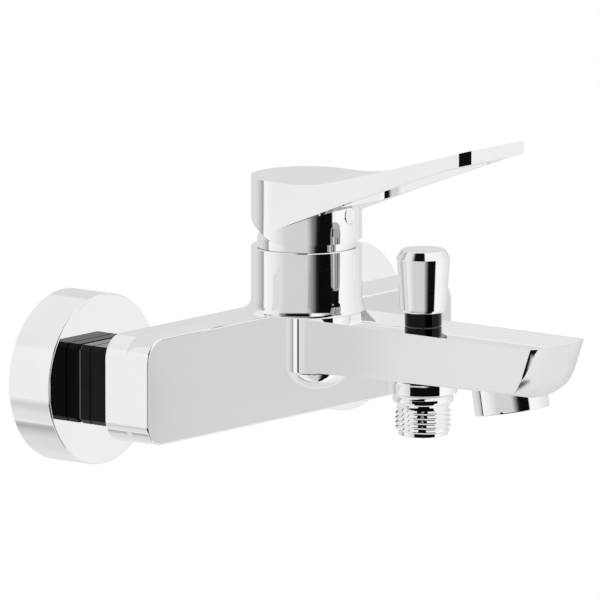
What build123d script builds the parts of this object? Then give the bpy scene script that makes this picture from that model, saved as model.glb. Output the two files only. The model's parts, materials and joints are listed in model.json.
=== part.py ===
from build123d import *
import math
import os

# Wall mounted bath mixer with one lever, a fixed tray spout and a pull-up diverter knob.
# Frame: the wall is the plane Y = 0, the front faces -Y, +Z is up, +X is right when facing it.
# The origin lies on the wall, midway between the two water inlets. Millimetres.
# Names ending in _out are distances from the wall, so the Y coordinate is their negative.

# inlets and wall side
inlet_spacing = 150.0
half_spacing = inlet_spacing / 2
rosette_radius = 32.4
rosette_depth = 19.4
rosette_wall = 1.8
wall_reach = 14.8                # how far the wall thread goes into the wall
eccentric_offset = 10.0          # wall thread sits this much above the faucet's inlet axis
g12_radius = 20.955 / 2          # G1/2 major radius
g34_radius = 26.441 / 2          # G3/4 major radius
pitch = 1.814
thread_depth = 1.0
water_radius = 6.5
nut_flats = 30.0
nut_corner = 1.8
nut_start = 19.7
nut_groove = 25.4
nut_end = 33.7

# bar shaped body
body_width = 184.4
body_height = 40.6
body_corner = 9.0
body_rear = 34.0
body_front = 54.7
body_top = body_height / 2
edge_break = 0.6
channel_out = 46.0
channel_radius = 4.5
port_x = 9.5
port_out = 49.5
bolt_height = 10.0

# cartridge boss
axis_out = 57.2
boss_radius = 21.0
boss_top = 45.3
seat = 22.8
pivot_height = 41.0
ball_height = 34.6

# handle
handle_bottom = 48.3
handle_top = 72.0
handle_radius = 21.0
handle_bore = 19.3
lift_angle = 25.0                # degrees from closed to fully open
tip_out = 148.7
tip_half_width = 19.65
tip_top = 92.4
tip_chamfer = 3.0
tip_slant = 3.8
screw_height = 58.5

# spout tray
tray_half = 16.35
tray_rear = 69.5
tray_front = 181.0
tray_floor = 15.3
tray_top = body_top - 0.3
nose_radius = 46.0
neck_out = 62.8
neck_radius = 12.2
neck_top = body_top - 0.1
outlet_out = 66.0
diverter_out = 113.4
lower_seat = -1.5
aerator_out = 156.0
aerator_rim = -7.6
aerator_tilt = 10.5
aerator_radius = 14.1

os.makedirs("parts", exist_ok=True)


def finish(piece, label):
    piece.part.label = label
    export_step(piece.part, f"parts/{label}.step")
    return piece.part


def upright(out, x=0.0, z=0.0):
    # plane for profiles of (radius, height) about a vertical axis
    return Plane(origin=(x, -out, z), x_dir=(1, 0, 0), z_dir=(0, -1, 0))


def outward(x, z=0.0):
    # plane for profiles of (radius, distance from the wall) about an axis normal to the wall
    return Plane(origin=(x, 0, z), x_dir=(1, 0, 0), z_dir=(0, 0, -1))


def ridges(radius, start, end):
    # thread flanks as full rings, from start to end along the axis
    step = math.copysign(pitch, end - start)
    count = int(abs(end - start) / pitch)
    root = radius - thread_depth
    points = []
    for turn in range(count):
        base = start + turn * step
        points += [(root, base), (radius, base + 0.42 * step), (radius, base + 0.58 * step)]
    points.append((root, start + count * step))
    return points


def turned(label, plane, outline):
    with BuildPart() as piece:
        with BuildSketch(plane):
            with BuildLine():
                Polyline(*outline, close=True)
            make_face()
        revolve(axis=Axis(plane.origin, plane.y_dir))
    return finish(piece, label)


def o_ring(label, plane, centre_radius, height, cord_radius):
    with BuildPart() as ring:
        with BuildSketch(plane):
            with Locations((centre_radius, height)):
                Circle(cord_radius)
        revolve(axis=Axis(plane.origin, plane.y_dir))
    return finish(ring, label)


# ---- wall side: rosettes, eccentric unions, nuts, tails and washers, one set for each inlet
union_end = 27.0
washer_end = 29.0
flange_end = 31.4
hub_start = 8.0

for side, x in (("left", -half_spacing), ("right", half_spacing)):
    inlet = outward(x)

    # cup shaped cover screwed onto the eccentric union
    turned(f"rosette_{side}", inlet, [
        (g34_radius + 0.05, hub_start), (g34_radius + 2.0, hub_start),
        (g34_radius + 2.0, rosette_depth - rosette_wall),
        (rosette_radius - rosette_wall, rosette_depth - rosette_wall),
        (rosette_radius - rosette_wall, 0.0), (rosette_radius, 0.0),
        (rosette_radius, rosette_depth - 0.3), (rosette_radius - 0.3, rosette_depth),
        (g34_radius + 0.05, rosette_depth)])

    with BuildPart() as s_union:
        wall_end = outward(x, eccentric_offset)
        with BuildSketch(wall_end):
            with BuildLine():
                Polyline((0, -1.0), (12.5, -1.0), (12.5, -3.0), *ridges(g12_radius, -3.0, 0.5 - wall_reach),
                         (8.8, -wall_reach), (0, -wall_reach), close=True)
            make_face()
        revolve(axis=Axis(wall_end.origin, wall_end.y_dir))
        with BuildSketch(Plane.XZ.offset(-1.5)):
            with Locations((x, eccentric_offset)):
                Circle(12.5)
        with BuildSketch(Plane.XZ.offset(7.0)):
            with Locations((x, 0)):
                Circle(g34_radius - 0.4)
        loft()
        with BuildSketch(inlet):
            with BuildLine():
                Polyline((0, 5.9), (g34_radius, 5.9), (g34_radius, 19.6),
                         *ridges(g34_radius, 19.6, union_end - 0.1), (11.8, union_end), (0, union_end),
                         close=True)
            make_face()
        revolve(axis=Axis(inlet.origin, inlet.y_dir))
        # water way: two straight bores joined by a slanted one
        with BuildSketch(Plane.XZ.offset(-wall_reach)):
            with Locations((x, eccentric_offset)):
                Circle(water_radius)
        extrude(amount=wall_reach - 1.5, mode=Mode.SUBTRACT)
        with BuildSketch(Plane.XZ.offset(-2.0)):
            with Locations((x, eccentric_offset)):
                Circle(water_radius - 0.2)
        with BuildSketch(Plane.XZ.offset(8.5)):
            with Locations((x, 0)):
                Circle(water_radius - 0.2)
        loft(mode=Mode.SUBTRACT)
        with BuildSketch(Plane.XZ.offset(8.0)):
            with Locations((x, 0)):
                Circle(water_radius)
        extrude(amount=union_end - 8.0, mode=Mode.SUBTRACT)
    finish(s_union, f"s_union_{side}")

    with BuildPart() as nut:
        for start, end in ((nut_start, nut_groove), (nut_groove, nut_end)):
            with BuildSketch(Plane.XZ.offset(start)):
                with Locations((x, 0)):
                    flats = Rectangle(nut_flats, nut_flats)
                chamfer(flats.vertices(), nut_corner)
            extrude(amount=end - start)
            ends = nut.faces().filter_by(Axis.Y).sort_by(Axis.Y)
            rims = [face.outer_wire().edges() for face in (ends[0], ends[-1])]
            if start == nut_start:
                chamfer(rims[0] + rims[1], 0.6)
            else:
                chamfer(rims[0], 0.6)
        # internal thread bore, then the narrower lip that pulls on the tail's flange
        with BuildSketch(Plane.XZ.offset(nut_start)):
            with Locations((x, 0)):
                Circle(g34_radius + 0.05)
        extrude(amount=flange_end + 0.05 - nut_start, mode=Mode.SUBTRACT)
        with BuildSketch(Plane.XZ.offset(nut_start)):
            with Locations((x, 0)):
                Circle(g12_radius + 0.4)
        extrude(amount=20, mode=Mode.SUBTRACT)
    finish(nut, f"union_nut_{side}")

    # flanged tail screwed into the body, held by the union nut
    tail_end = body_rear + 10.0
    turned(f"inlet_tail_{side}", inlet, [
        (water_radius, washer_end), (12.4, washer_end), (12.4, flange_end), (g12_radius, flange_end),
        (g12_radius, body_rear + 0.8), *ridges(g12_radius, body_rear + 0.8, tail_end), (9.2, tail_end),
        (water_radius, tail_end)])

    # flat washer with the dirt strainer disc moulded into it
    with BuildPart() as washer:
        with BuildSketch(Plane.XZ.offset(union_end)):
            with Locations((x, 0)):
                Circle(12.0)
                Circle(7.6, mode=Mode.SUBTRACT)
        extrude(amount=washer_end - union_end)
        with BuildSketch(Plane.XZ.offset(union_end + 0.7)):
            with Locations((x, 0)):
                Circle(7.7)
            with Locations((x, 0)):
                with GridLocations(2.2, 2.2, 5, 5):
                    Rectangle(1.6, 1.6, mode=Mode.SUBTRACT)
        extrude(amount=0.6)
    finish(washer, f"filter_washer_{side}")

# ---- body: bar, cartridge boss, water ways
with BuildPart() as boss_skirt:
    # concave run-out of the boss onto the bar's top, trimmed to the bar's depth
    flare = 5.0
    with BuildSketch(upright(axis_out)):
        with BuildLine():
            Polyline((18.0, body_top + flare), (18.0, body_top - 2), (boss_radius + flare, body_top - 2),
                     (boss_radius + flare, body_top))
            RadiusArc((boss_radius + flare, body_top), (boss_radius, body_top + flare), flare)
            Line((boss_radius, body_top + flare), (18.0, body_top + flare))
        make_face()
    revolve(axis=Axis((0, -axis_out, 0), (0, 0, 1)))
    with BuildSketch(Plane.XZ.offset(body_rear + edge_break)):
        with Locations((0, body_top)):
            Rectangle(80, 20)
    extrude(amount=body_front - body_rear - 2 * edge_break, mode=Mode.INTERSECT)

with BuildPart() as mixer_body:
    with BuildSketch(Plane.XZ.offset(body_rear)):
        RectangleRounded(body_width, body_height, body_corner)
    extrude(amount=body_front - body_rear)
    long_faces = mixer_body.faces().filter_by(Axis.Y)
    fillet(long_faces.edges(), edge_break)
    add(boss_skirt.part)
    with BuildSketch(upright(axis_out)):
        with BuildLine():
            Line((0, body_top), (boss_radius - 0.1, body_top))
            RadiusArc((boss_radius - 0.1, body_top), (boss_radius + 1.1, body_top + 1.2), -1.2)
            ThreePointArc((boss_radius + 1.1, body_top + 1.2), (boss_radius + 0.35, body_top + 3.0),
                          (boss_radius, body_top + 6.0))
            Polyline((boss_radius, body_top + 6.0), (boss_radius, boss_top - 0.3),
                     (boss_radius - 0.3, boss_top), (0, boss_top), (0, body_top))
        make_face()
    revolve(axis=Axis((0, -axis_out, 0), (0, 0, 1)))
    # cartridge well with the wider threaded mouth
    with BuildSketch(Plane.XY.offset(seat)):
        with Locations((0, -axis_out)):
            Circle(17.6)
    extrude(amount=40, mode=Mode.SUBTRACT)
    with BuildSketch(Plane.XY.offset(39.0)):
        with Locations((0, -axis_out)):
            Circle(19.0)
    extrude(amount=20, mode=Mode.SUBTRACT)
    for hand in (-1, 1):
        with BuildSketch(Plane.XZ.offset(body_rear)):
            with Locations((hand * half_spacing, 0)):
                Circle(g12_radius + 0.05)
        extrude(amount=12.0, mode=Mode.SUBTRACT)
        with BuildSketch(Plane.YZ.offset(hand * port_x)):
            with Locations((-channel_out, 0)):
                Circle(channel_radius)
        extrude(amount=hand * (half_spacing - port_x), mode=Mode.SUBTRACT)
        with BuildSketch(Plane.XY):
            with Locations((hand * port_x, -port_out)):
                Circle(3.5)
        extrude(amount=seat + 1, mode=Mode.SUBTRACT)
    # mixed water leaves through the floor of the well, in front of the bar
    with BuildSketch(Plane.XY.offset(body_top - 1)):
        with Locations((0, -outlet_out)):
            Circle(4.5)
    extrude(amount=6, mode=Mode.SUBTRACT)
    # hole and counterbore for the bolt that pulls the spout's neck onto the bar
    with BuildSketch(Plane.XZ.offset(body_rear)):
        with Locations((0, bolt_height)):
            Circle(4.2)
    extrude(amount=30, mode=Mode.SUBTRACT)
    with BuildSketch(Plane.XZ.offset(body_rear)):
        with Locations((0, bolt_height)):
            Circle(6.8)
    extrude(amount=9, mode=Mode.SUBTRACT)
finish(mixer_body, "mixer_body")

with BuildPart() as spout_bolt:
    with BuildSketch(Plane.XZ.offset(body_rear + 1.0)):
        with Locations((0, bolt_height)):
            Circle(6.5)
            RegularPolygon(3.46, 6, mode=Mode.SUBTRACT)
    extrude(amount=4.0)
    with BuildSketch(Plane.XZ.offset(body_rear + 5.0)):
        with Locations((0, bolt_height)):
            Circle(6.5)
    extrude(amount=4.0)
    with BuildSketch(Plane.XZ.offset(body_rear + 9.0)):
        with Locations((0, bolt_height)):
            Circle(3.95)
    extrude(amount=17.0)
finish(spout_bolt, "spout_bolt")

# ---- spout: open tray on a round neck, shower boss underneath, slanted aerator seat
aerator_plane = Plane(origin=(0, -aerator_out, aerator_rim), x_dir=(1, 0, 0),
                      z_dir=(0, -math.cos(math.radians(aerator_tilt)), math.sin(math.radians(aerator_tilt))))
aerator_up = Plane(origin=aerator_plane.origin, x_dir=(1, 0, 0), z_dir=aerator_plane.y_dir)
nose_axis_out = tray_front - nose_radius
nose_axis = Axis((0, -nose_axis_out, 0), (0, 0, 1))
boss_end = -5.0
bonnet_foot = 9.6

with BuildPart() as nose_limit:
    # bowl shaped front: everything ahead of the bowl is trimmed away from the tray
    with BuildSketch(upright(nose_axis_out)):
        with BuildLine():
            Polyline((31.0, -2.5), (31.0, -8), (0, -8), (0, 25), (nose_radius + 0.8, 25), (nose_radius, body_top))
            Spline((nose_radius, body_top), (42.4, 11.0), (38.4, 3.0), (31.0, -2.5))
        make_face()
    revolve(axis=nose_axis)
    with BuildSketch(Plane.XY.offset(-8)):
        with Locations((0, -100)):
            Rectangle(60, 90)
    extrude(amount=33)

lip = 0.9
inner_half = tray_half - lip
inner_rear = tray_rear + 1.5
corner_out = nose_axis_out + math.sqrt((nose_radius - lip) ** 2 - inner_half ** 2)

with BuildPart() as trough:
    # hollow of the tray: thin lips, bowed front, sloping walls, softly rounded floor
    for height, inset in ((tray_floor, 3.0), (tray_top, 0.0)):
        with BuildSketch(Plane.XY.offset(height)):
            with BuildLine():
                Polyline((-inner_half, -corner_out), (-inner_half, -inner_rear), (inner_half, -inner_rear),
                         (inner_half, -corner_out))
                ThreePointArc((inner_half, -corner_out), (0, lip - tray_front), (-inner_half, -corner_out))
            make_face()
            if inset:
                offset(amount=-inset)
    loft(ruled=True)
    fillet(trough.faces().sort_by(Axis.Z)[0].edges(), 2.5)

with BuildPart() as shower_boss:
    boss_flare = 4.4
    with BuildSketch(upright(diverter_out)):
        with BuildLine():
            Polyline((13.0, boss_end + boss_flare), (13.0, boss_end + 0.4), (12.6, boss_end), (0, boss_end),
                     (0, 4.0), (13.0 + boss_flare, 4.0), (13.0 + boss_flare, boss_end + 2 * boss_flare))
            RadiusArc((13.0 + boss_flare, boss_end + 2 * boss_flare), (13.0, boss_end + boss_flare),
                      -boss_flare)
        make_face()
    revolve(axis=Axis((0, -diverter_out, 0), (0, 0, 1)))
    with BuildSketch(Plane.XY.offset(-10)):
        with Locations((0, -diverter_out)):
            Rectangle(2 * tray_half, 60)
    extrude(amount=20, mode=Mode.INTERSECT)

with BuildPart() as neck:
    # round column with a bowl shaped underside, flat where it meets the bar
    forward = Plane(origin=(0, -neck_out, 0), x_dir=(0, -1, 0), z_dir=(-1, 0, 0))
    with BuildSketch(forward):
        with BuildLine():
            Line((0, neck_top), (0, -8.7))
            ThreePointArc((0, -8.7), (8.0, -6.9), (neck_radius, -1.5))
            Polyline((neck_radius, -1.5), (neck_radius, neck_top), (0, neck_top))
        make_face()
    revolve(axis=Axis((0, -neck_out, 0), (0, 0, 1)))
    with BuildSketch(Plane.XZ.offset(body_front + 0.02)):
        Rectangle(60, 60)
    extrude(amount=40, mode=Mode.INTERSECT)

with BuildPart() as spout:
    for out, edge, middle in ((tray_rear, 0.0, -1.2), (tray_front + 2, 3.1, -0.6)):
        with BuildSketch(Plane.XZ.offset(out)):
            with BuildLine():
                Polyline((-tray_half, edge), (-tray_half, tray_top), (tray_half, tray_top),
                         (tray_half, edge))
                ThreePointArc((tray_half, edge), (0, middle), (-tray_half, edge))
            make_face()
    loft(ruled=True)
    add(nose_limit.part, mode=Mode.INTERSECT)
    add(trough.part, mode=Mode.SUBTRACT)
    add(shower_boss.part)
    add(neck.part)
    # water ways
    with BuildSketch(Plane.XY.offset(neck_top)):
        with Locations((0, -outlet_out)):
            Circle(4.5)
    extrude(amount=-15.0, mode=Mode.SUBTRACT)
    with BuildSketch(Plane.XY.offset(neck_top)):
        with Locations((0, -outlet_out)):
            Circle(7.1)
            Circle(5.3, mode=Mode.SUBTRACT)
    extrude(amount=-1.7, mode=Mode.SUBTRACT)
    for rear, front, half, low, high in ((outlet_out - 2, diverter_out - 5, 8.0, 3.0, 8.6),
                                         (diverter_out + 4, diverter_out + 12, 3.6, 10.2, 12.6),
                                         (diverter_out + 10.5, aerator_out + 1, 8.0, 5.0, 12.6)):
        with BuildSketch(Plane.XZ.offset(rear)):
            with Locations((0, (low + high) / 2)):
                Rectangle(2 * half, high - low)
        extrude(amount=front - rear, mode=Mode.SUBTRACT)
    for radius, low, high in ((8.3, boss_end - 1, lower_seat), (7.0, lower_seat - 0.1, bonnet_foot),
                              (7.95, bonnet_foot - 0.1, tray_floor + 6)):
        with BuildSketch(Plane.XY.offset(low)):
            with Locations((0, -diverter_out)):
                Circle(radius)
        extrude(amount=high - low, mode=Mode.SUBTRACT)
    with BuildSketch(aerator_up.offset(-8)):
        Circle(aerator_radius + 0.05)
    extrude(amount=19.05, mode=Mode.SUBTRACT)
    with BuildSketch(aerator_up.offset(11)):
        Circle(8.0)
    extrude(amount=3.5, mode=Mode.SUBTRACT)
    # tapped hole for the bolt from the bar
    with BuildSketch(Plane.XZ.offset(body_front)):
        with Locations((0, bolt_height)):
            Circle(4.0)
    extrude(amount=5.9, mode=Mode.SUBTRACT)
finish(spout, "spout")

o_ring("neck_seal", upright(outlet_out), 6.2, neck_top - 0.85, 0.83)

# ---- cartridge: base, ceramic discs, housing, swivelling carrier and tilting spindle
axis_plane = upright(axis_out)
base_top = 26.4
disc_top = 28.6
moving_top = 31.6
coupler_top = 36.6
shoulder = 40.0
disc_shift = 1.35
ports = [(7.2, 6.0), (-7.2, 6.0)]

with BuildPart() as cartridge_base:
    with BuildSketch(Plane.XY.offset(seat + 0.8)):
        with Locations((0, -axis_out)):
            Circle(17.4)
    extrude(amount=base_top - seat - 0.8)
    with BuildSketch(Plane.XY.offset(seat + 0.02)):
        with Locations((0, -axis_out)):
            Circle(17.4)
            Circle(16.75, mode=Mode.SUBTRACT)
    extrude(amount=0.8)
    for hand in (-1, 1):
        with BuildSketch(Plane.XY.offset(seat)):
            with Locations((hand * port_x, -port_out)):
                Circle(3.5)
            with Locations((hand * 7.2, -axis_out + 6.0)):
                Circle(3.0)
        extrude(amount=8, mode=Mode.SUBTRACT)
    with BuildSketch(Plane.XY.offset(seat)):
        with Locations((0, -outlet_out)):
            Circle(4.5)
    extrude(amount=8, mode=Mode.SUBTRACT)
finish(cartridge_base, "cartridge_base")

with BuildPart() as base_seals:
    for x, out, hole in ((-port_x, port_out, 3.6), (port_x, port_out, 3.6), (0, outlet_out, 4.6)):
        with BuildSketch(Plane.XY.offset(seat + 0.02)):
            with Locations((x, -out)):
                Circle(hole + 0.8)
                Circle(hole, mode=Mode.SUBTRACT)
        extrude(amount=0.76)
finish(base_seals, "base_seals")

with BuildPart() as fixed_disc:
    with BuildSketch(Plane.XY.offset(base_top + 0.02)):
        with Locations((0, -axis_out)):
            Circle(14.0)
        with Locations(*[(x, y - axis_out) for x, y in ports]):
            Circle(2.6, mode=Mode.SUBTRACT)
        with Locations((0, -axis_out - 7.2)):
            Circle(3.4, mode=Mode.SUBTRACT)
    extrude(amount=disc_top - base_top - 0.04)
finish(fixed_disc, "fixed_disc")

with BuildPart() as moving_disc:
    with BuildSketch(Plane.XY.offset(disc_top)):
        with Locations((0, disc_shift - axis_out)):
            Circle(11.0)
    extrude(amount=moving_top - disc_top - 0.02)
    with BuildSketch(Plane.XY.offset(disc_top)):
        with Locations((0, disc_shift - axis_out - 2.0)):
            Ellipse(5.0, 6.5)
    extrude(amount=1.4, mode=Mode.SUBTRACT)
finish(moving_disc, "moving_disc")

with BuildPart() as disc_coupler:
    with BuildSketch(Plane.XY.offset(moving_top)):
        with Locations((0, disc_shift - axis_out)):
            Circle(10.6)
    extrude(amount=coupler_top - moving_top)
    with BuildSketch(Plane.XY.offset(moving_top + 0.4)):
        with Locations((0, -axis_out)):
            Rectangle(5.4, 4.6)
    extrude(amount=6, mode=Mode.SUBTRACT)
finish(disc_coupler, "disc_coupler")

turned("cartridge_housing", axis_plane, [
    (14.3, base_top + 0.02), (17.4, base_top + 0.02), (17.4, shoulder - 0.1), (17.3, shoulder),
    (13.5, shoulder), (13.5, 46.8), (13.2, 47.1), (11.6, 47.1), (11.6, 38.5), (14.3, 38.5)])

with BuildPart() as spindle_carrier:
    with BuildSketch(axis_plane):
        with BuildLine():
            Polyline((0, 37.3), (14.1, 37.3), (14.1, 38.4), (11.52, 38.4), (11.52, 47.6), (0, 47.6),
                     close=True)
        make_face()
    revolve(axis=Axis(axis_plane.origin, axis_plane.y_dir))
    with BuildSketch(Plane.XY.offset(37)):
        with Locations((0, -axis_out)):
            Rectangle(8.4, 18.6)
    extrude(amount=12, mode=Mode.SUBTRACT)
    with BuildSketch(Plane.YZ.offset(-15)):
        with Locations((-axis_out, pivot_height)):
            Circle(1.52)
    extrude(amount=30, mode=Mode.SUBTRACT)
finish(spindle_carrier, "spindle_carrier")

with BuildPart() as pivot_pin:
    with BuildSketch(Plane.YZ.offset(-10.4)):
        with Locations((-axis_out, pivot_height)):
            Circle(1.5)
    extrude(amount=20.8)
finish(pivot_pin, "pivot_pin")

with BuildPart() as spindle:
    with BuildSketch(Plane.XY.offset(38.0)):
        with Locations((0, -axis_out)):
            RectangleRounded(8.0, 8.0, 0.5)
    extrude(amount=28.5)
    with BuildSketch(Plane.XY.offset(ball_height)):
        with Locations((0, -axis_out)):
            Rectangle(4.2, 2.0)
    extrude(amount=4.0)
    with Locations((0, -axis_out, ball_height)):
        Sphere(2.2)
    with BuildSketch(Plane.YZ.offset(-15)):
        with Locations((-axis_out, pivot_height)):
            Circle(1.55)
    extrude(amount=30, mode=Mode.SUBTRACT)
finish(spindle, "spindle")

turned("cartridge_nut", axis_plane, [
    (13.8, shoulder + 0.02), (18.2, shoulder + 0.02), (18.95, shoulder + 0.7), (18.95, 44.2),
    (17.05, 44.2), (17.05, 47.2), (16.6, 47.6), (13.8, 47.6)])

turned("cover_ring", axis_plane, [
    (17.1, 44.3), (18.6, 44.3), (18.6, 48.6), (18.2, 49.7), (17.6, 50.6), (16.6, 51.5), (15.7, 50.8),
    (16.6, 49.8), (17.1, 48.6)])

# ---- handle: cup over the cartridge with a broad, hollow-backed paddle
socket = 8.06

with BuildPart() as handle:
    tip_left = tip_half_width - tip_slant
    with BuildSketch(Plane.XY.offset(handle_bottom)):
        with Locations((0, -axis_out)):
            Circle(handle_radius)
        with BuildLine():
            Polyline((-handle_radius, -axis_out), (-tip_half_width, tip_chamfer - tip_out),
                     (-tip_left, -tip_out), (tip_left, -tip_out),
                     (tip_half_width, tip_chamfer - tip_out), (handle_radius, -axis_out), close=True)
        make_face()
    extrude(amount=60)
    # side view: flat over the cup, then a sweep up to the thin front edge
    with BuildSketch(Plane(origin=(30, 0, 0), x_dir=(0, -1, 0), z_dir=(-1, 0, 0))):
        with BuildLine():
            Polyline((64.0, handle_top), (30.0, handle_top), (30.0, handle_bottom), (79.0, handle_bottom),
                     (79.0, 61.8), (95.5, 68.4), (140.7, 85.1), (tip_out + 1, 87.5),
                     (tip_out + 1, tip_top + 0.3))
            Spline((tip_out + 1, tip_top + 0.3), (115.4, 82.7), (99.3, 78.2), (89.8, 75.6), (81.5, 73.6),
                   (73.0, 72.35), (64.0, handle_top), tangents=((-1, -0.29), (-1, 0)))
        make_face()
    extrude(amount=60, mode=Mode.INTERSECT)
    # ahead of the cup only its round front remains below the paddle
    with BuildSketch(Plane(origin=(30, 0, 0), x_dir=(0, -1, 0), z_dir=(-1, 0, 0))):
        with BuildLine():
            Polyline((axis_out, handle_bottom - 1), (axis_out, 53.2), (79.2, 61.88), (79.2, handle_bottom - 1),
                     close=True)
        make_face()
    extrude(amount=60, mode=Mode.SUBTRACT)
    with BuildSketch(Plane.XY.offset(handle_bottom)):
        with Locations((0, -axis_out)):
            Circle(handle_radius)
    extrude(amount=18)
    # raised rear rim, so the cup clears the boss when the lever is lifted
    with BuildSketch(Plane(origin=(30, 0, 0), x_dir=(0, -1, 0), z_dir=(-1, 0, 0))):
        with BuildLine():
            Polyline((59.0, handle_bottom), (59.0, 40.0), (30.0, 40.0),
                     (30.0, handle_bottom + 29.0 * math.tan(math.radians(lift_angle - 1))), close=True)
        make_face()
    extrude(amount=60, mode=Mode.SUBTRACT)
    # cavity, hub with the square socket, rib with the grub screw
    with BuildSketch(Plane.XY.offset(40)):
        with Locations((0, -axis_out)):
            Circle(handle_bore)
    extrude(amount=28.0, mode=Mode.SUBTRACT)
    with BuildSketch(Plane.XY.offset(54.2)):
        with Locations((0, -axis_out)):
            Circle(7.5)
        with Locations((0, -axis_out - 12.5)):
            Rectangle(10.0, 14.6)
    extrude(amount=14.0)
    with BuildSketch(Plane.XY.offset(50)):
        with Locations((0, -axis_out)):
            Rectangle(socket, socket)
    extrude(amount=17.0, mode=Mode.SUBTRACT)
    for radius, start, end in ((2.55, 60.0, 72.0), (3.2, 71.9, 82.0)):
        with BuildSketch(Plane.XZ.offset(start)):
            with Locations((0, screw_height)):
                Circle(radius)
        extrude(amount=end - start, mode=Mode.SUBTRACT)
    # hollow underside of the paddle, leaving a thin skin and two side walls
    with BuildSketch(Plane.XY.offset(50)):
        with Locations((0, -(84.0 + 136.0) / 2)):
            RectangleRounded(33.0, 52.0, 6.0)
    hollow = extrude(amount=40, mode=Mode.PRIVATE)
    with BuildSketch(Plane(origin=(30, 0, 0), x_dir=(0, -1, 0), z_dir=(-1, 0, 0))):
        with BuildLine():
            Polyline((80.0, 50.0), (80.0, 71.4), (89.8, 73.4), (99.3, 76.0), (115.4, 80.5), (140.0, 87.7),
                     (140.0, 50.0), close=True)
        make_face()
    under_skin = extrude(amount=60, mode=Mode.PRIVATE)
    add(hollow & under_skin, mode=Mode.SUBTRACT)
finish(handle, "handle")

with BuildPart() as grub_screw:
    with BuildSketch(Plane.XZ.offset(axis_out + 4.06)):
        with Locations((0, screw_height)):
            Circle(2.45)
    extrude(amount=8.0)
    with BuildSketch(Plane.XZ.offset(axis_out + 12.1)):
        with Locations((0, screw_height)):
            RegularPolygon(1.44, 6)
    extrude(amount=-3.0, mode=Mode.SUBTRACT)
finish(grub_screw, "grub_screw")

with BuildPart() as screw_cap:
    with BuildSketch(Plane.XZ.offset(74.4)):
        with Locations((0, screw_height)):
            Circle(3.14)
    extrude(amount=4.1)
    fillet(screw_cap.faces().sort_by(Axis.Y)[0].edges(), 0.6)
finish(screw_cap, "screw_cap")

# ---- diverter: knob, stem with piston, bonnet, seals and return spring
diverter_plane = upright(diverter_out)
stem_radius = 2.45
piston_top = 2.0

with BuildPart() as diverter_bonnet:
    with BuildSketch(diverter_plane):
        with BuildLine():
            Polyline((4.8, bonnet_foot), (7.6, bonnet_foot), (7.9, bonnet_foot + 0.3), (7.9, tray_floor + 0.02),
                     (9.0, tray_floor + 0.02), (9.0, tray_floor + 0.9), (8.7, tray_floor + 1.2),
                     (7.0, tray_floor + 1.2), (7.0, 19.9), (6.8, 20.1), (stem_radius + 0.05, 20.1),
                     (stem_radius + 0.05, 18.9), (4.4, 18.9), (4.4, 17.0), (stem_radius + 0.05, 17.0),
                     (stem_radius + 0.05, 13.6), (4.8, 13.6), close=True)
        make_face()
    revolve(axis=Axis(diverter_plane.origin, diverter_plane.y_dir))
    for turn in range(4):
        with BuildSketch(Plane.XY.offset(10.3)):
            with Locations((0, -diverter_out)):
                with PolarLocations(6.5, 1, start_angle=90 * turn):
                    Rectangle(8.0, 4.6)
        extrude(amount=2.3, mode=Mode.SUBTRACT)
finish(diverter_bonnet, "diverter_bonnet")

o_ring("stem_seal", diverter_plane, 3.44, 17.95, 0.88)

turned("diverter_stem", diverter_plane, [
    (0, -1.4), (2.6, -1.4), (2.6, -0.5), (6.2, -0.5), (6.2, piston_top), (stem_radius, piston_top),
    (stem_radius, 34.0), (0, 34.0)])

with BuildPart() as piston_seals:
    for inner, outer, low, high in ((2.65, 6.1, lower_seat + 0.05, -0.52), (4.95, 6.3, piston_top + 0.02, 2.55)):
        with BuildSketch(Plane.XY.offset(low)):
            with Locations((0, -diverter_out)):
                Circle(outer)
                Circle(inner, mode=Mode.SUBTRACT)
        extrude(amount=high - low)
finish(piston_seals, "piston_seals")

with BuildPart() as diverter_spring:
    with BuildLine() as coil:
        Helix(pitch=2.05, height=10.25, radius=3.75, center=(0, -diverter_out, piston_top + 0.5))
    with BuildSketch(Plane(origin=coil.line @ 0, z_dir=coil.line % 0)):
        Circle(0.35)
    sweep(path=coil.line)
finish(diverter_spring, "diverter_spring")

turned("diverter_knob", diverter_plane, [
    (stem_radius + 0.03, 20.5), (6.8, 20.5), (7.0, 20.7), (7.0, 25.9), (8.1, 25.9), (8.6, 26.15),
    (8.75, 26.7), (10.1, 46.4), (8.375, 49.4), (0, 49.4), (0, 34.2), (stem_radius + 0.03, 34.2)])

# ---- shower outlet and aerator
turned("shower_nipple", diverter_plane, [
    (4.9, lower_seat), (8.2, lower_seat), (8.2, boss_end - 0.62), (10.2, boss_end - 0.62),
    (11.1, boss_end - 1.0), (11.5, boss_end - 1.7), (11.5, -7.7), (11.2, -8.4), (10.4, -8.8), (9.9, -9.6),
    (9.7, -11.4), *ridges(g12_radius, -11.4, -20.6), (9.0, -21.2), (7.2, -21.2), (7.2, -5.5), (4.9, -3.5)])

with BuildPart() as nipple_washer:
    with BuildSketch(Plane.XY.offset(boss_end - 0.02)):
        with Locations((0, -diverter_out)):
            Circle(10.2)
            Circle(8.4, mode=Mode.SUBTRACT)
    extrude(amount=-0.58)
finish(nipple_washer, "nipple_washer")

turned("aerator_housing", aerator_plane, [
    (11.4, 0), (13.9, 0), (aerator_radius, 0.2), (aerator_radius, 10.9), (12.7, 10.9), (12.7, 1.3),
    (11.4, 1.1)])

with BuildPart() as aerator_insert:
    with BuildSketch(aerator_up.offset(1.35)):
        Circle(12.6)
    extrude(amount=7.0)
    with BuildSketch(aerator_up.offset(1.35)):
        Circle(11.0)
    extrude(amount=1.6, mode=Mode.SUBTRACT)
    with BuildSketch(aerator_up.offset(1.0)):
        for ring in range(1, 4):
            with PolarLocations(3.2 * ring, 6 * ring):
                Circle(1.1)
    extrude(amount=9, mode=Mode.SUBTRACT)
finish(aerator_insert, "aerator_insert")

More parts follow.
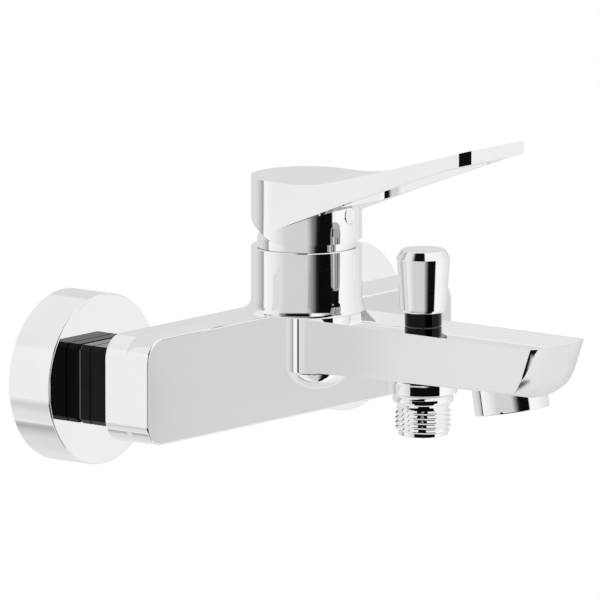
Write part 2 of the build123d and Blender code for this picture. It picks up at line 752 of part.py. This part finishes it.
with BuildPart() as aerator_gasket:
    with BuildSketch(aerator_up.offset(8.4)):
        Circle(12.5)
        Circle(8.6, mode=Mode.SUBTRACT)
    extrude(amount=2.4)
finish(aerator_gasket, "aerator_gasket")
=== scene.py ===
import json
import math
import bpy
import bmesh
from mathutils import Matrix, Vector


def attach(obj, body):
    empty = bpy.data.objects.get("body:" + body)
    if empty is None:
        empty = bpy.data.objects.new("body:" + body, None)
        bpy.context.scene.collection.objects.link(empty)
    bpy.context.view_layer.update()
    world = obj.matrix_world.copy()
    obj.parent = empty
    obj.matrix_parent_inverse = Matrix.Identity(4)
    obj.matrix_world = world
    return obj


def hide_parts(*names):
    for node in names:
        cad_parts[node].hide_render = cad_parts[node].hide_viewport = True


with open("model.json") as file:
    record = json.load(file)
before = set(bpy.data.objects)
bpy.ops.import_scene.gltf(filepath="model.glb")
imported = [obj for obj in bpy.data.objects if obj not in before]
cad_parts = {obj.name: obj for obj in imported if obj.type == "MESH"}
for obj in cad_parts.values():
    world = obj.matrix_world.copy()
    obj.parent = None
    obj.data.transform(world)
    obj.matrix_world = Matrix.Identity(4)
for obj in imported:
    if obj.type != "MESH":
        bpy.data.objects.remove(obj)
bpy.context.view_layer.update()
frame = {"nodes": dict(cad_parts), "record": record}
nodes = frame["nodes"]
print("frame loaded")


# shader node helpers
def addNode(tree, kind, **sockets):
    node = tree.nodes.new(kind)
    for key, value in sockets.items():
        if hasattr(node, key):
            setattr(node, key, value)
        else:
            node.inputs[key].default_value = value
    return node


def wire(tree, source, output, target, name):
    tree.links.new(source.outputs[output], target.inputs[name])


def ramp(tree, stops):
    node = tree.nodes.new("ShaderNodeValToRGB")
    node.color_ramp.interpolation = "LINEAR"
    marks = node.color_ramp.elements
    while len(marks) > 1:
        marks.remove(marks[-1])
    for index, (where, tone) in enumerate(stops):
        mark = marks[0] if index == 0 else marks.new(where)
        mark.position = where
        mark.color = tone if isinstance(tone, tuple) else (tone, tone, tone, 1)
    return node


# screen tone 0 to 255 as a linear value
def toLinear(tone):
    share = tone / 255
    return share / 12.92 if share < 0.04 else ((share + 0.055) / 1.055) ** 2.4


# studio: soft panels all round. walls, ceiling and floor are tones (0 to 255) by plan angle in degrees;
# each mask is how far the ceiling or floor replaces the walls, by the height of the direction
def buildWorld():
    world = bpy.data.worlds.new("studio")
    bpy.context.scene.world = world
    world.use_nodes = True
    tree = world.node_tree
    tree.nodes.clear()
    spot = addNode(tree, "ShaderNodeTexCoord")
    parts = addNode(tree, "ShaderNodeSeparateXYZ")
    wire(tree, spot, "Generated", parts, "Vector")
    turn = addNode(tree, "ShaderNodeMath", operation="ARCTAN2")
    wire(tree, parts, "Y", turn, 0)
    wire(tree, parts, "X", turn, 1)
    share = addNode(tree, "ShaderNodeMath", operation="DIVIDE")
    share.inputs[1].default_value = 2 * math.pi
    wire(tree, turn, 0, share, 0)
    whole = addNode(tree, "ShaderNodeMath", operation="WRAP")
    whole.inputs[1].default_value = 1.0
    whole.inputs[2].default_value = 0.0
    wire(tree, share, 0, whole, 0)
    height = {}
    for level, turned in (("floor", -1.0), ("ceiling", 1.0)):
        side = addNode(tree, "ShaderNodeMath", operation="MULTIPLY")
        side.inputs[1].default_value = turned
        wire(tree, parts, "Z", side, 0)
        height[level] = ramp(tree, studio[level + "Mask"])
        wire(tree, side, 0, height[level], 0)
    tones = {}
    for level in ("walls", "floor", "ceiling"):
        tones[level] = ramp(tree, [(angle / 360, toLinear(tone)) for angle, tone in studio[level]])
        wire(tree, whole, 0, tones[level], 0)
    lower = tones["walls"]
    for level in ("floor", "ceiling"):
        blend = addNode(tree, "ShaderNodeMix", data_type="RGBA")
        tree.links.new(height[level].outputs[0], blend.inputs[0])
        tree.links.new(lower.outputs[2 if lower.type == "MIX" else 0], blend.inputs[6])
        tree.links.new(tones[level].outputs[0], blend.inputs[7])
        lower = blend
    panels = addNode(tree, "ShaderNodeBackground")
    wire(tree, lower, 2, panels, "Color")
    plain = addNode(tree, "ShaderNodeBackground", Color=(1, 1, 1, 1), Strength=1.0)
    path = addNode(tree, "ShaderNodeLightPath")
    # what reaches a surface by way of another polished one is weaker
    repeated = addNode(tree, "ShaderNodeMath", operation="GREATER_THAN")
    repeated.inputs[1].default_value = 1.5
    wire(tree, path, "Glossy Depth", repeated, 0)
    level = addNode(tree, "ShaderNodeMapRange")
    level.inputs["To Min"].default_value = studio["strength"]
    level.inputs["To Max"].default_value = studio["repeat"]
    wire(tree, repeated, 0, level, "Value")
    wire(tree, level, 0, panels, "Strength")
    mix = addNode(tree, "ShaderNodeMixShader")
    tree.links.new(path.outputs["Is Glossy Ray"], mix.inputs[0])
    tree.links.new(plain.outputs[0], mix.inputs[1])
    tree.links.new(panels.outputs[0], mix.inputs[2])
    out = addNode(tree, "ShaderNodeOutputWorld")
    tree.links.new(mix.outputs[0], out.inputs[0])


studio = {
    "walls": [(0, 220), (90, 220), (105, 200), (115, 165), (118, 165),    # grey surround
              (120, 250), (150, 235), (175, 210), (220, 210),             # light panel, falling off
              (232, 130), (240, 35), (246, 12), (273, 12),                # black card with one soft edge
              (276, 250), (300, 250), (345, 230)],                        # white panel
    "ceiling": [(0, 238), (110, 236), (152, 232), (166, 130), (172, 18), (224, 12), (231, 250), (330, 246)],
    "floor": [(0, 228), (130, 226), (158, 60), (180, 12), (268, 10), (275, 244), (330, 236)],
    "ceilingMask": [(0.48, 0.0), (0.56, 1.0)],
    "floorMask": [(0.36, 0.0), (0.46, 1.0), (0.66, 1.0), (0.74, 0.0)],
    "strength": 1.04,
    "repeat": 0.5,
}
buildWorld()

camera = bpy.data.objects.new("camera", bpy.data.cameras.new("camera"))
bpy.context.scene.collection.objects.link(camera)
bpy.context.scene.camera = camera
view = {"azimuth": -51.4, "elevation": 9.65, "distance": 7.0, "target": Vector((0, -0.0541, 0.0238)),
        "span": 0.22676}
turn = math.radians(view["azimuth"])
rise = math.radians(view["elevation"])
back = Vector((math.sin(turn) * math.cos(rise), -math.cos(turn) * math.cos(rise), math.sin(rise)))
camera.location = view["target"] + back * view["distance"]
camera.rotation_euler = back.to_track_quat("Z", "Y").to_euler()
camera.data.sensor_width = 36.0
camera.data.lens = 36.0 * view["distance"] / view["span"]
camera.data.clip_end = 60.0
bpy.context.scene.view_settings.view_transform = "Standard"

# pale floor and one broad soft lamp
ground = {"size": 1.6, "height": -0.55, "tone": 0.86}
mesh = bpy.data.meshes.new("floor")
mesh.from_pydata([(x * ground["size"], y * ground["size"], ground["height"]) for x, y in
                  ((-1, -1), (1, -1), (1, 1), (-1, 1))], [], [(0, 1, 2, 3)])
floor = bpy.data.objects.new("floor", mesh)
bpy.context.scene.collection.objects.link(floor)
floor.visible_glossy = False
plain = bpy.data.materials.new("floor_pale")
plain.use_nodes = True
plain.node_tree.nodes["Principled BSDF"].inputs["Base Color"].default_value = (*[ground["tone"]] * 3, 1)
plain.node_tree.nodes["Principled BSDF"].inputs["Roughness"].default_value = 0.8
mesh.materials.append(plain)
softLamp = {"size": 1.2, "watts": 3.0, "place": (-0.9, -1.3, 1.5)}
lamp = bpy.data.objects.new("soft_lamp", bpy.data.lights.new("soft_lamp", "AREA"))
lamp.data.size = softLamp["size"]
lamp.data.energy = softLamp["watts"]
lamp.location = softLamp["place"]
lamp.rotation_euler = Vector(lamp.location).to_track_quat("Z", "Y").to_euler()
lamp.visible_glossy = False
bpy.context.scene.collection.objects.link(lamp)
print("studio and camera")

mm = 0.001


# mesh helpers, all in millimetres until the piece is made
def blended(outline, steps=5):
    # corners of an outline given as (radius, height, blend) become arcs
    smooth = []
    count = len(outline)
    for index, corner in enumerate(outline):
        here = Vector(corner[:2])
        blend = corner[2] if len(corner) > 2 else 0
        if not blend:
            smooth.append(here)
            continue
        before = (Vector(outline[index - 1][:2]) - here).normalized()
        after = (Vector(outline[(index + 1) % count][:2]) - here).normalized()
        half = math.acos(max(-1, min(1, before.dot(after)))) / 2
        reach = blend / math.tan(half)
        middle = here + (before + after).normalized() * (blend / math.sin(half))
        start = here + before * reach - middle
        sweep = start.angle_signed(here + after * reach - middle)
        for step in range(steps + 1):
            smooth.append(middle + Matrix.Rotation(-sweep * step / steps, 2) @ start)
    return smooth


def lathe(outline, segments=160):
    # closed outline of (radius, height) turned about local Z
    corners = []
    faces = []
    rows = len(outline)
    for segment in range(segments):
        angle = 2 * math.pi * segment / segments
        for radius, height in outline:
            corners.append((max(radius, 0) * math.cos(angle), max(radius, 0) * math.sin(angle), height))
    for segment in range(segments):
        this = segment * rows
        other = (segment + 1) % segments * rows
        for row in range(rows):
            following = (row + 1) % rows
            faces.append((this + row, other + row, other + following, this + following))
    return corners, faces


def upright(out, height=0):
    return Matrix.Translation((0, -out, height))


def outward(x):
    # local Z points away from the wall
    return Matrix.Translation((x, 0, 0)) @ Matrix.Rotation(math.pi / 2, 4, "X")


def makePiece(name, shapes, body, covers, material, crease=32):
    mesh = bpy.data.meshes.new(name)
    work = bmesh.new()
    for (corners, faces), placing in shapes:
        made = [work.verts.new((placing @ Vector(corner)) * mm) for corner in corners]
        for face in faces:
            if len(set(face)) > 2:
                work.faces.new([made[index] for index in face])
    bmesh.ops.remove_doubles(work, verts=work.verts, dist=1e-7)
    bmesh.ops.recalc_face_normals(work, faces=work.faces)
    work.to_mesh(mesh)
    work.free()
    return settle(name, mesh, body, covers, material, crease)


def settle(name, mesh, body, covers, material, crease=32):
    mesh.shade_smooth()
    mesh.set_sharp_from_angle(angle=math.radians(crease))
    piece = bpy.data.objects.new(name, mesh)
    bpy.context.scene.collection.objects.link(piece)
    mesh.materials.append(material)
    even = piece.modifiers.new("normals", "WEIGHTED_NORMAL")
    even.keep_sharp = True
    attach(piece, body)
    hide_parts(*covers)
    return piece


def paint(piece, material, chosen):
    # a second material on the faces that chosen picks by centre (mm), normal and area (mm2)
    piece.data.materials.append(material)
    for face in piece.data.polygons:
        if chosen(face.center / mm, face.normal, face.area / mm ** 2):
            face.material_index = 1


def refined(name, node, body, material, edge, rounding=3, crease=32, cuts=()):
    # the CAD node's shape with its sharp edges broken, after cutting it by any planes given
    work = bmesh.new()
    work.from_mesh(nodes[node].data)
    bmesh.ops.remove_doubles(work, verts=work.verts, dist=2e-6)
    bmesh.ops.dissolve_limit(work, angle_limit=math.radians(0.4), verts=work.verts, edges=work.edges)
    for point, across in cuts:
        parts = list(work.verts) + list(work.edges) + list(work.faces)
        cut = bmesh.ops.bisect_plane(work, geom=parts, plane_co=point * mm, plane_no=across, clear_outer=True)
        rim = [part for part in cut["geom_cut"] if isinstance(part, bmesh.types.BMEdge)]
        bmesh.ops.edgenet_fill(work, edges=rim)
    sharp = [line for line in work.edges
             if len(line.link_faces) == 2 and line.calc_face_angle() > math.radians(crease)]
    bmesh.ops.bevel(work, geom=sharp, offset=edge * mm, offset_type="OFFSET", segments=rounding,
                    profile=0.5, affect="EDGES", clamp_overlap=True, miter_outer="ARC")
    mesh = bpy.data.meshes.new(name)
    work.to_mesh(mesh)
    work.free()
    return settle(name, mesh, body, [node], material, crease)


def buildMottle():
    # faint uneven polish: roughness to add, slight tone, and a shallow normal
    tree = bpy.data.node_groups.new("mottle", "ShaderNodeTree")
    tree.interface.new_socket("Scale", in_out="INPUT", socket_type="NodeSocketFloat")
    tree.interface.new_socket("Depth", in_out="INPUT", socket_type="NodeSocketFloat")
    tree.interface.new_socket("Detail", in_out="INPUT", socket_type="NodeSocketFloat")
    tree.interface.new_socket("Cloud", in_out="OUTPUT", socket_type="NodeSocketFloat")
    tree.interface.new_socket("Scratch", in_out="OUTPUT", socket_type="NodeSocketFloat")
    tree.interface.new_socket("Normal", in_out="OUTPUT", socket_type="NodeSocketVector")
    given = tree.nodes.new("NodeGroupInput")
    result = tree.nodes.new("NodeGroupOutput")
    spot = tree.nodes.new("ShaderNodeTexCoord")
    cloud = addNode(tree, "ShaderNodeTexNoise", Detail=4.0, Roughness=0.6)
    fine = addNode(tree, "ShaderNodeTexNoise", Detail=2.0)
    stretch = addNode(tree, "ShaderNodeMapping")
    stretch.inputs["Scale"].default_value = (1.0, 9.0, 9.0)
    bump = addNode(tree, "ShaderNodeBump", Strength=1.0)
    quick = addNode(tree, "ShaderNodeMath", operation="MULTIPLY")
    quick.inputs[1].default_value = 6.0
    tree.links.new(given.outputs["Scale"], cloud.inputs["Scale"])
    tree.links.new(given.outputs["Detail"], cloud.inputs["Detail"])
    tree.links.new(spot.outputs["Object"], cloud.inputs["Vector"])
    tree.links.new(spot.outputs["Object"], stretch.inputs["Vector"])
    tree.links.new(stretch.outputs["Vector"], fine.inputs["Vector"])
    tree.links.new(given.outputs["Scale"], quick.inputs[0])
    tree.links.new(quick.outputs[0], fine.inputs["Scale"])
    tree.links.new(given.outputs["Depth"], bump.inputs["Distance"])
    tree.links.new(cloud.outputs["Fac"], bump.inputs["Height"])
    tree.links.new(cloud.outputs["Fac"], result.inputs["Cloud"])
    tree.links.new(fine.outputs["Fac"], result.inputs["Scratch"])
    tree.links.new(bump.outputs["Normal"], result.inputs["Normal"])
    return tree


def spread(tree, source, output, low, high):
    # a mask turned into a range of values
    node = addNode(tree, "ShaderNodeMapRange")
    node.inputs["From Min"].default_value = 0.3
    node.inputs["From Max"].default_value = 0.7
    node.inputs["To Min"].default_value = low
    node.inputs["To Max"].default_value = high
    wire(tree, source, output, node, "Value")
    return node


def finishOf(name, dark, light, metallic, smooth, rough, scale=60.0, depth=2e-6, tint="Cloud", detail=4.0,
             sockets=()):
    # colour between dark and light by one mask, roughness between smooth and rough by the other
    material = bpy.data.materials.new(name)
    material.use_nodes = True
    tree = material.node_tree
    shader = tree.nodes["Principled BSDF"]
    shader.inputs["Metallic"].default_value = metallic
    for key, value in dict(sockets).items():
        shader.inputs[key].default_value = value
    uneven = tree.nodes.new("ShaderNodeGroup")
    uneven.node_tree = mottle
    uneven.inputs["Scale"].default_value = scale
    uneven.inputs["Depth"].default_value = depth
    uneven.inputs["Detail"].default_value = detail
    colour = ramp(tree, [(0.3, (*dark, 1)), (0.7, (*light, 1))])
    wire(tree, uneven, tint, colour, 0)
    wire(tree, colour, 0, shader, "Base Color")
    polish = spread(tree, uneven, "Scratch" if tint == "Cloud" else "Cloud", smooth, rough)
    wire(tree, polish, 0, shader, "Roughness")
    wire(tree, uneven, "Normal", shader, "Normal")
    return material


mottle = buildMottle()
chrome = finishOf("chrome", (0.915, 0.92, 0.925), (0.945, 0.95, 0.955), 1.0, 0.012, 0.03,
                  scale=45, depth=3e-6)
# broad flat faces of the castings, a little less even than the turned pieces
broadChrome = finishOf("chrome_cast_face", (0.85, 0.855, 0.86), (0.87, 0.875, 0.88), 1.0, 0.20, 0.22,
                       scale=9, depth=1.2e-3, detail=0.0)
# the body's front face: a darker copy of the cast finish, painted shade
frontChromePaintedShade = finishOf("chrome_cast_front_painted_shade", (0.70, 0.705, 0.71), (0.725, 0.73, 0.735), 1.0, 0.22, 0.25,
                       scale=7, depth=2.4e-3, detail=0.0)
# near-black chrome: painted dark reflection, a base colour that stands in for the dark surroundings these
# parts mirror
chromePaintedDarkReflection = finishOf("dark_chrome", (0.010, 0.010, 0.011), (0.016, 0.016, 0.017), 1.0, 0.03, 0.07, scale=80)
finishes = {
    "chrome": chrome,
    "dark_chrome": chromePaintedDarkReflection,
    "raw_brass": finishOf("raw_brass", (0.55, 0.40, 0.18), (0.74, 0.57, 0.28), 1.0, 0.18, 0.34, scale=90,
                          depth=1e-5, tint="Scratch"),
    "steel": finishOf("steel", (0.48, 0.48, 0.49), (0.64, 0.64, 0.65), 1.0, 0.2, 0.38, scale=120, depth=8e-6,
                      tint="Scratch"),
    "rubber": finishOf("rubber", (0.012, 0.012, 0.013), (0.03, 0.03, 0.031), 0.0, 0.5, 0.68, scale=240,
                       depth=2e-5),
    "cartridge_plastic": finishOf("cartridge_plastic", (0.70, 0.70, 0.65), (0.80, 0.80, 0.76), 0.0, 0.34, 0.5,
                                  scale=150, depth=1e-5),
    "ceramic": finishOf("ceramic", (0.86, 0.85, 0.81), (0.94, 0.93, 0.90), 0.0, 0.08, 0.2, scale=300,
                        depth=1e-6, sockets={"Coat Weight": 0.3}),
    "aerator_plastic": finishOf("aerator_plastic", (0.60, 0.63, 0.66), (0.76, 0.79, 0.81), 0.0, 0.3, 0.46,
                                scale=160, depth=1e-5),
    "fibre": finishOf("fibre", (0.02, 0.02, 0.02), (0.06, 0.06, 0.055), 0.0, 0.7, 0.9, scale=400, depth=3e-5,
                      tint="Scratch"),
}
for part in frame["record"]["subparts"]:
    cadMesh = nodes[part["node"]].data
    cadMesh.materials.clear()
    cadMesh.materials.append(finishes[part["material_slot"]])
    nodes[part["node"]].visible_glossy = False
# the bonnet takes the near-black chrome: painted dark reflection
nodes["diverter_bonnet"].data.materials[0] = chromePaintedDarkReflection
print("materials")


# studio flags: thin cards that only show in reflections, and only from their inner side
def flag(name, corners, faces, tone):
    mesh = bpy.data.meshes.new(name)
    mesh.from_pydata([Vector(corner) * mm for corner in corners], [], faces)
    card = bpy.data.objects.new(name, mesh)
    bpy.context.scene.collection.objects.link(card)
    material = bpy.data.materials.new(name)
    material.use_nodes = True
    tree = material.node_tree
    tree.nodes.clear()
    facing = tree.nodes.new("ShaderNodeNewGeometry")
    glow = addNode(tree, "ShaderNodeEmission", Color=(*[toLinear(tone)] * 3, 1))
    clear = tree.nodes.new("ShaderNodeBsdfTransparent")
    mix = tree.nodes.new("ShaderNodeMixShader")
    out = tree.nodes.new("ShaderNodeOutputMaterial")
    wire(tree, facing, "Backfacing", mix, 0)
    tree.links.new(glow.outputs[0], mix.inputs[1])
    tree.links.new(clear.outputs[0], mix.inputs[2])
    tree.links.new(mix.outputs[0], out.inputs[0])
    mesh.materials.append(material)
    card.visible_camera = False
    card.visible_diffuse = False
    card.visible_shadow = False
    card.visible_transmission = False
    return card


# curved dark screens beside the two outlets under the spout
screens = {
    "outlet": {"out": 113.4, "radius": 30.0, "top": -4.2, "bottom": -150.0, "start": 183, "end": 262},
    "aerator": {"out": 156.0, "radius": 30.0, "top": -6.5, "bottom": -150.0, "start": 190, "end": 262},
}
for name, screen in screens.items():
    corners = []
    for step in range(17):
        angle = math.radians(screen["start"] + (screen["end"] - screen["start"]) * step / 16)
        for height in (screen["bottom"], screen["top"]):
            corners.append((screen["radius"] * math.cos(angle),
                            screen["radius"] * math.sin(angle) - screen["out"], height))
    faces = [(2 * step, 2 * step + 1, 2 * step + 3, 2 * step + 2) for step in range(16)]
    flag(f"screen_beside_{name}", corners, faces, 12)
# flat cards, by their four corners in order round the lit side
cards = {
    "card_beside_neck": [(-92, -44, -19), (-40, -44, -19), (-40, -44, 32), (-92, -44, 32)],
    "card_inside_tray": [(12, -80, 50), (12, -178, 50), (12, -178, 4), (12, -80, 4)],
}
flag("card_beside_neck", cards["card_beside_neck"], [(0, 1, 2, 3)], 226)
flag("card_inside_tray", cards["card_inside_tray"], [(0, 1, 2, 3)], 236)
print("reflection cards")

# wall covers
rosette = {"spacing": 150.0, "radius": 32.4, "depth": 19.4, "wall": 1.8, "hole": 13.3, "hub": 15.3,
           "hubStart": 8.0}
for side, x in (("left", -rosette["spacing"] / 2), ("right", rosette["spacing"] / 2)):
    outline = blended([
        (rosette["hole"], rosette["hubStart"]), (rosette["hub"], rosette["hubStart"], 0.3),
        (rosette["hub"], rosette["depth"] - rosette["wall"], 0.8),
        (rosette["radius"] - rosette["wall"], rosette["depth"] - rosette["wall"], 1.0),
        (rosette["radius"] - rosette["wall"], 0), (rosette["radius"], 0, 0.2),
        (rosette["radius"], rosette["depth"], 0.55), (rosette["hole"], rosette["depth"], 0.2)])
    cover = makePiece(f"cover_{side}", [(lathe(outline, 240), outward(x))], "faucet", [f"rosette_{side}"],
                      chrome)
    cover.visible_glossy = False
print("wall covers")

# diverter knob
knob = {"out": 113.4, "foot": 7.0, "skirt": 8.75, "shoulder": 10.1, "top": 8.375, "peak": 49.4,
        "stem": 2.48, "base": 20.5, "step": 25.9, "stemEnd": 34.2}
outline = blended([
    (knob["stem"], knob["base"]), (knob["foot"], knob["base"], 0.25), (knob["foot"], knob["step"], 0.2),
    (knob["skirt"] - 0.35, knob["step"], 0.5), (knob["skirt"], knob["step"] + 1, 0.5),
    (knob["shoulder"], knob["peak"] - 3, 0.35), (knob["top"], knob["peak"], 0.5), (0, knob["peak"]),
    (0, knob["stemEnd"]), (knob["stem"], knob["stemEnd"])])
pull = makePiece("knob", [(lathe(outline), upright(knob["out"]))], "diverter", ["diverter_knob"],
                 chrome)
# the skirt below the step takes the near-black chrome: painted dark reflection
paint(pull, chromePaintedDarkReflection, lambda centre, normal, area: centre.z < knob["step"] + 0.05)

# trim ring under the handle
ring = {"out": 57.2, "inner": 17.1, "outer": 18.6, "foot": 44.3, "shoulder": 48.6}
outline = blended([
    (ring["inner"], ring["foot"]), (ring["outer"], ring["foot"], 0.2), (ring["outer"], ring["shoulder"], 1.0),
    (17.6, 50.6, 0.6), (16.6, 51.5, 0.3), (15.7, 50.8, 0.2), (16.6, 49.8), (ring["inner"], ring["shoulder"])])
makePiece("trim_ring", [(lathe(outline), upright(ring["out"]))], "faucet", ["cover_ring"], chrome)

# shower outlet with its helical thread
nipple = {"major": 10.4775, "depth": 1.1, "pitch": 1.814, "start": -11.3, "end": -20.8, "bore": 7.2,
          "collar": 11.5, "core": 9.4, "neck": 8.2, "waterway": 4.9, "top": -1.5, "seat": -5.62, "tip": -21.2}


def threaded(part, segments=72):
    # one continuous ridge wound round a core, both running out at the ends
    corners = []
    faces = []
    turns = (part["start"] - part["end"]) / part["pitch"]
    count = int(turns * segments)
    shape = ((0.0, 0.0), (0.36, 1.0), (0.5, 1.0), (0.86, 0.0))
    for step in range(count + 1):
        angle = 2 * math.pi * step / segments
        fade = min(1.0, step / segments * 1.6, (count - step) / segments * 1.6)
        for across, rise in shape:
            radius = part["major"] - part["depth"] * (1 - rise * fade)
            height = part["start"] - part["pitch"] * (step / segments + across - 0.9)
            corners.append((radius * math.cos(angle), radius * math.sin(angle), height))
    width = len(shape)
    for step in range(count):
        for index in range(width - 1):
            low = step * width + index
            faces.append((low, low + 1, low + 1 + width, low + width))
    return corners, faces


outline = blended([
    (nipple["waterway"], nipple["top"]), (nipple["neck"], nipple["top"]), (nipple["neck"], nipple["seat"]),
    (10.2, nipple["seat"], 0.1), (11.1, -6.0, 0.3), (nipple["collar"], -6.7, 0.3),
    (nipple["collar"], -7.7, 0.4), (11.2, -8.4, 0.3), (10.4, -8.8, 0.2), (9.9, -9.6, 0.3),
    (nipple["core"], -11.2), (nipple["core"], nipple["tip"] + 0.3, 0.2),
    (nipple["core"] - 0.5, nipple["tip"], 0.2), (nipple["bore"], nipple["tip"], 0.2),
    (nipple["bore"], -5.5), (nipple["waterway"], -3.5)])
shapes = [(shape, upright(knob["out"])) for shape in (lathe(outline), threaded(nipple))]
outlet = makePiece("hose_outlet", shapes, "faucet", ["shower_nipple"], chrome, crease=25)

# aerator housing
aerator = {"out": 156.0, "drop": 7.6, "tilt": 10.5, "mouth": 11.4, "outer": 14.1, "inner": 12.7,
           "height": 10.9}
tilt = math.radians(aerator["tilt"])
aeratorPlace = upright(aerator["out"], -aerator["drop"]) @ Matrix.Rotation(-tilt, 4, "X")
outline = blended([
    (aerator["mouth"], 0, 0.1), (aerator["outer"], 0, 0.35), (aerator["outer"], aerator["height"]),
    (aerator["inner"], aerator["height"]), (aerator["inner"], 1.3), (aerator["mouth"], 1.1, 0.1)])
collar = makePiece("aerator_ring", [(lathe(outline), aeratorPlace)], "faucet", ["aerator_housing"],
                   chrome)
for piece in (outlet, collar):
    piece.visible_glossy = False
print("turned pieces")

# castings and nuts with their sharp edges broken
# the nuts take the near-black chrome: painted dark reflection
for side in ("left", "right"):
    refined(f"nut_{side}", f"union_nut_{side}", "faucet", chromePaintedDarkReflection, 0.25)
bar = refined("body", "mixer_body", "faucet", chrome, 0.2)
# the body's big front face gets the darker copy of the cast finish: painted shade
paint(bar, frontChromePaintedShade, lambda centre, normal, area: normal.y < -0.99 and area > 500)

# a slanted flat on each lip corner of the spout
nose = {"corner": (16.35, -174.1, 11.6), "turn": 32.0, "lean": 17.0}
cuts = []
for side in (-1, 1):
    sideways = math.radians(nose["turn"])
    lean = math.radians(nose["lean"])
    across = Vector((side * math.sin(sideways) * math.cos(lean), -math.cos(sideways) * math.cos(lean),
                     -math.sin(lean)))
    cuts.append((Vector((side * nose["corner"][0], *nose["corner"][1:])), across))
shell = refined("spout_shell", "spout", "faucet", chrome, 0.25, cuts=cuts)
# the sides and the curved nose, but not the two flats, have the cast finish
spout = {"side": 16.3, "neckEnd": -78, "noseStart": -150, "noseCentre": -135}


def isCastFace(centre, normal, area):
    if abs(centre.x) > spout["side"] and centre.y < spout["neckEnd"]:
        return True
    outside = normal.y * (centre.y - spout["noseCentre"]) + normal.x * centre.x > 0
    onFlat = max(normal.dot(across) for point, across in cuts) > 0.999
    return centre.y < spout["noseStart"] and normal.z < 0.3 and outside and not onFlat


paint(shell, broadChrome, isCastFace)
for piece in (bar, shell):
    piece.visible_glossy = False
grip = refined("lever", "handle", "lever", chrome, 0.3)
grip.visible_glossy = False
refined("plug", "screw_cap", "lever", chrome, 0.2)
print("refined pieces")
